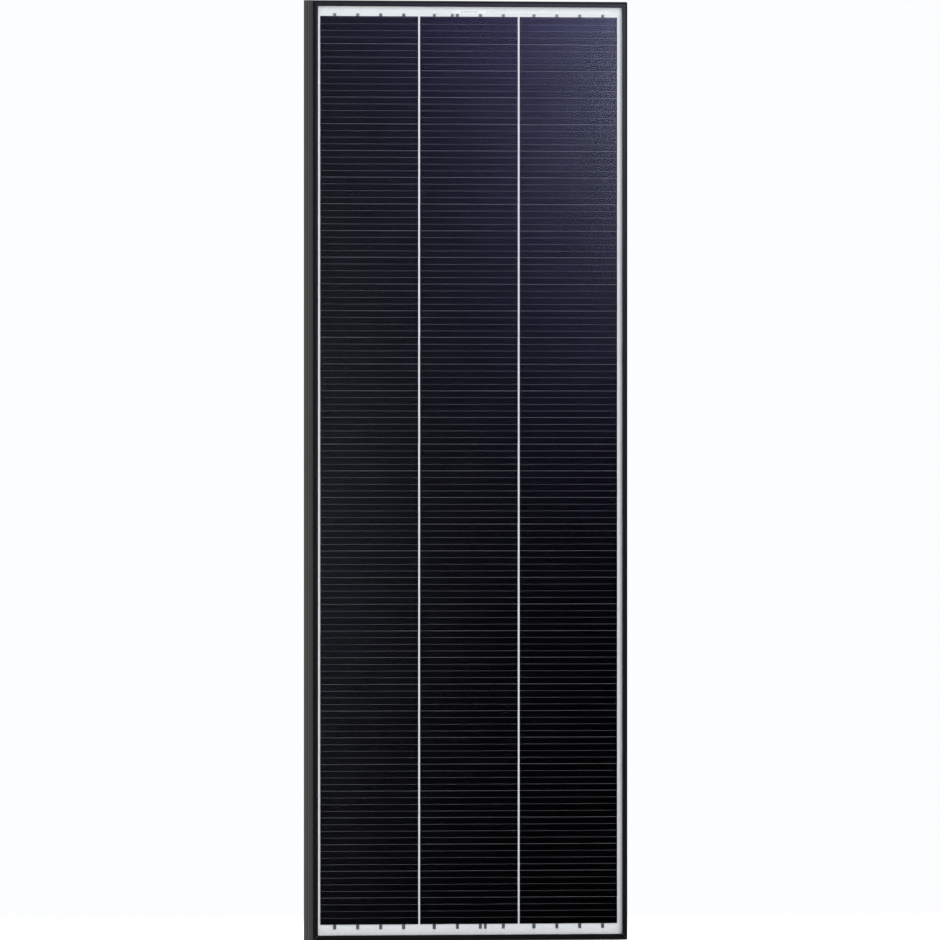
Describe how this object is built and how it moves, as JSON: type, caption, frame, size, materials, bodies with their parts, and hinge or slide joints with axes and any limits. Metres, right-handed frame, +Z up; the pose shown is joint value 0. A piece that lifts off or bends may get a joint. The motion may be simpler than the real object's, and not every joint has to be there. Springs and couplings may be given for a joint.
{
  "type": "solar panel",
  "caption": "Upright framed photovoltaic panel: black mitred frame, glass front, overlapping shingled cells in parallel strings, junction box with hinged lid behind.",
  "frame": {"origin": "the middle of the plane that the rear flanges rest on, halfway up and halfway across the panel", "axes": "+Z up the panel's length, +X to the right as seen from the glass side, +Y out of the back, so the glass faces -Y"},
  "size_m": [0.535, 0.03, 1.41],
  "materials": {
    "frame": "satin black anodised extrusion",
    "corner_key": "cast",
    "sealant": "matt silicone",
    "glass": "clear low-iron tempered",
    "encapsulant": "clear film",
    "backsheet": "white film",
    "cells": "blue-black coated silicon",
    "ribbon": "tinned copper",
    "cover_strip": "white film",
    "serial_strip": "printed film",
    "label": "satin printed label",
    "box_plastic": "fine-textured black",
    "rubber": "matt",
    "steel": "zinc plated",
    "contact_brass": "tinned brass",
    "diode": "moulded epoxy"
  },
  "bodies": {
    "panel": {"frame_left": "frame", "frame_right": "frame", "frame_top": "frame", "frame_bottom": "frame", "corner_key_top_left": "corner_key", "corner_key_top_right": "corner_key", "corner_key_bottom_left": "corner_key", "corner_key_bottom_right": "corner_key", "edge_sealant": "sealant", "rear_sealant_bead": "sealant", "front_glass": "glass", "front_encapsulant": "encapsulant", "rear_encapsulant": "encapsulant", "backsheet": "backsheet", "cell_string_left": "cells", "cell_string_centre": "cells", "cell_string_right": "cells", "end_ribbon_top_left": "ribbon", "end_ribbon_top_centre": "ribbon", "end_ribbon_top_right": "ribbon", "end_ribbon_bottom_left": "ribbon", "end_ribbon_bottom_centre": "ribbon", "end_ribbon_bottom_right": "ribbon", "cross_ribbon_top": "ribbon", "cross_ribbon_bottom": "ribbon", "cover_strip_top": "cover_strip", "cover_strip_bottom": "cover_strip", "serial_strip": "serial_strip", "lead_ribbon_positive": "ribbon", "return_ribbon_negative": "ribbon", "return_insulation": "cover_strip", "rating_label": "label", "jbox_adhesive": "sealant", "jbox_base": "box_plastic", "jbox_gasket": "rubber", "jbox_hinge_pin": "steel", "contact_rail_positive": "contact_brass", "contact_rail_negative": "contact_brass", "terminal_screw_positive": "steel", "terminal_screw_negative": "steel", "ribbon_clamp_positive": "steel", "ribbon_clamp_negative": "steel", "bypass_diode_upper": "diode", "bypass_diode_lower": "diode"},
    "box_lid": {"jbox_lid": "box_plastic"},
    "positive_seal": {"gland_seal_positive": "rubber"},
    "positive_nut": {"gland_nut_positive": "box_plastic"},
    "negative_seal": {"gland_seal_negative": "rubber"},
    "negative_nut": {"gland_nut_negative": "box_plastic"}
  },
  "joints": [
    {"name": "lid_hinge", "type": "hinge", "parent": "panel", "child": "box_lid", "pos_m": [0, -0.00863, 0.6409], "axis": [1, 0, 0], "range_deg": [0, 110]},
    {"name": "positive_seal_travel", "type": "slide", "parent": "panel", "child": "positive_seal", "axis": [0, 0, -1], "range_m": [0, 0.003]},
    {"name": "positive_nut_turn", "type": "hinge", "parent": "positive_seal", "child": "positive_nut", "pos_m": [-0.028, -0.01477, 0.531], "axis": [0, 0, -1], "range_deg": [0, 720]},
    {"name": "negative_seal_travel", "type": "slide", "parent": "panel", "child": "negative_seal", "axis": [0, 0, -1], "range_m": [0, 0.003]},
    {"name": "negative_nut_turn", "type": "hinge", "parent": "negative_seal", "child": "negative_nut", "pos_m": [0.028, -0.01477, 0.531], "axis": [0, 0, -1], "range_deg": [0, 720]}
  ],
  "couplings": [
    {"joint": "positive_nut_turn", "follows": "positive_seal_travel", "rad_per_m": 4188.8},
    {"joint": "negative_nut_turn", "follows": "negative_seal_travel", "rad_per_m": 4188.8}
  ]
}
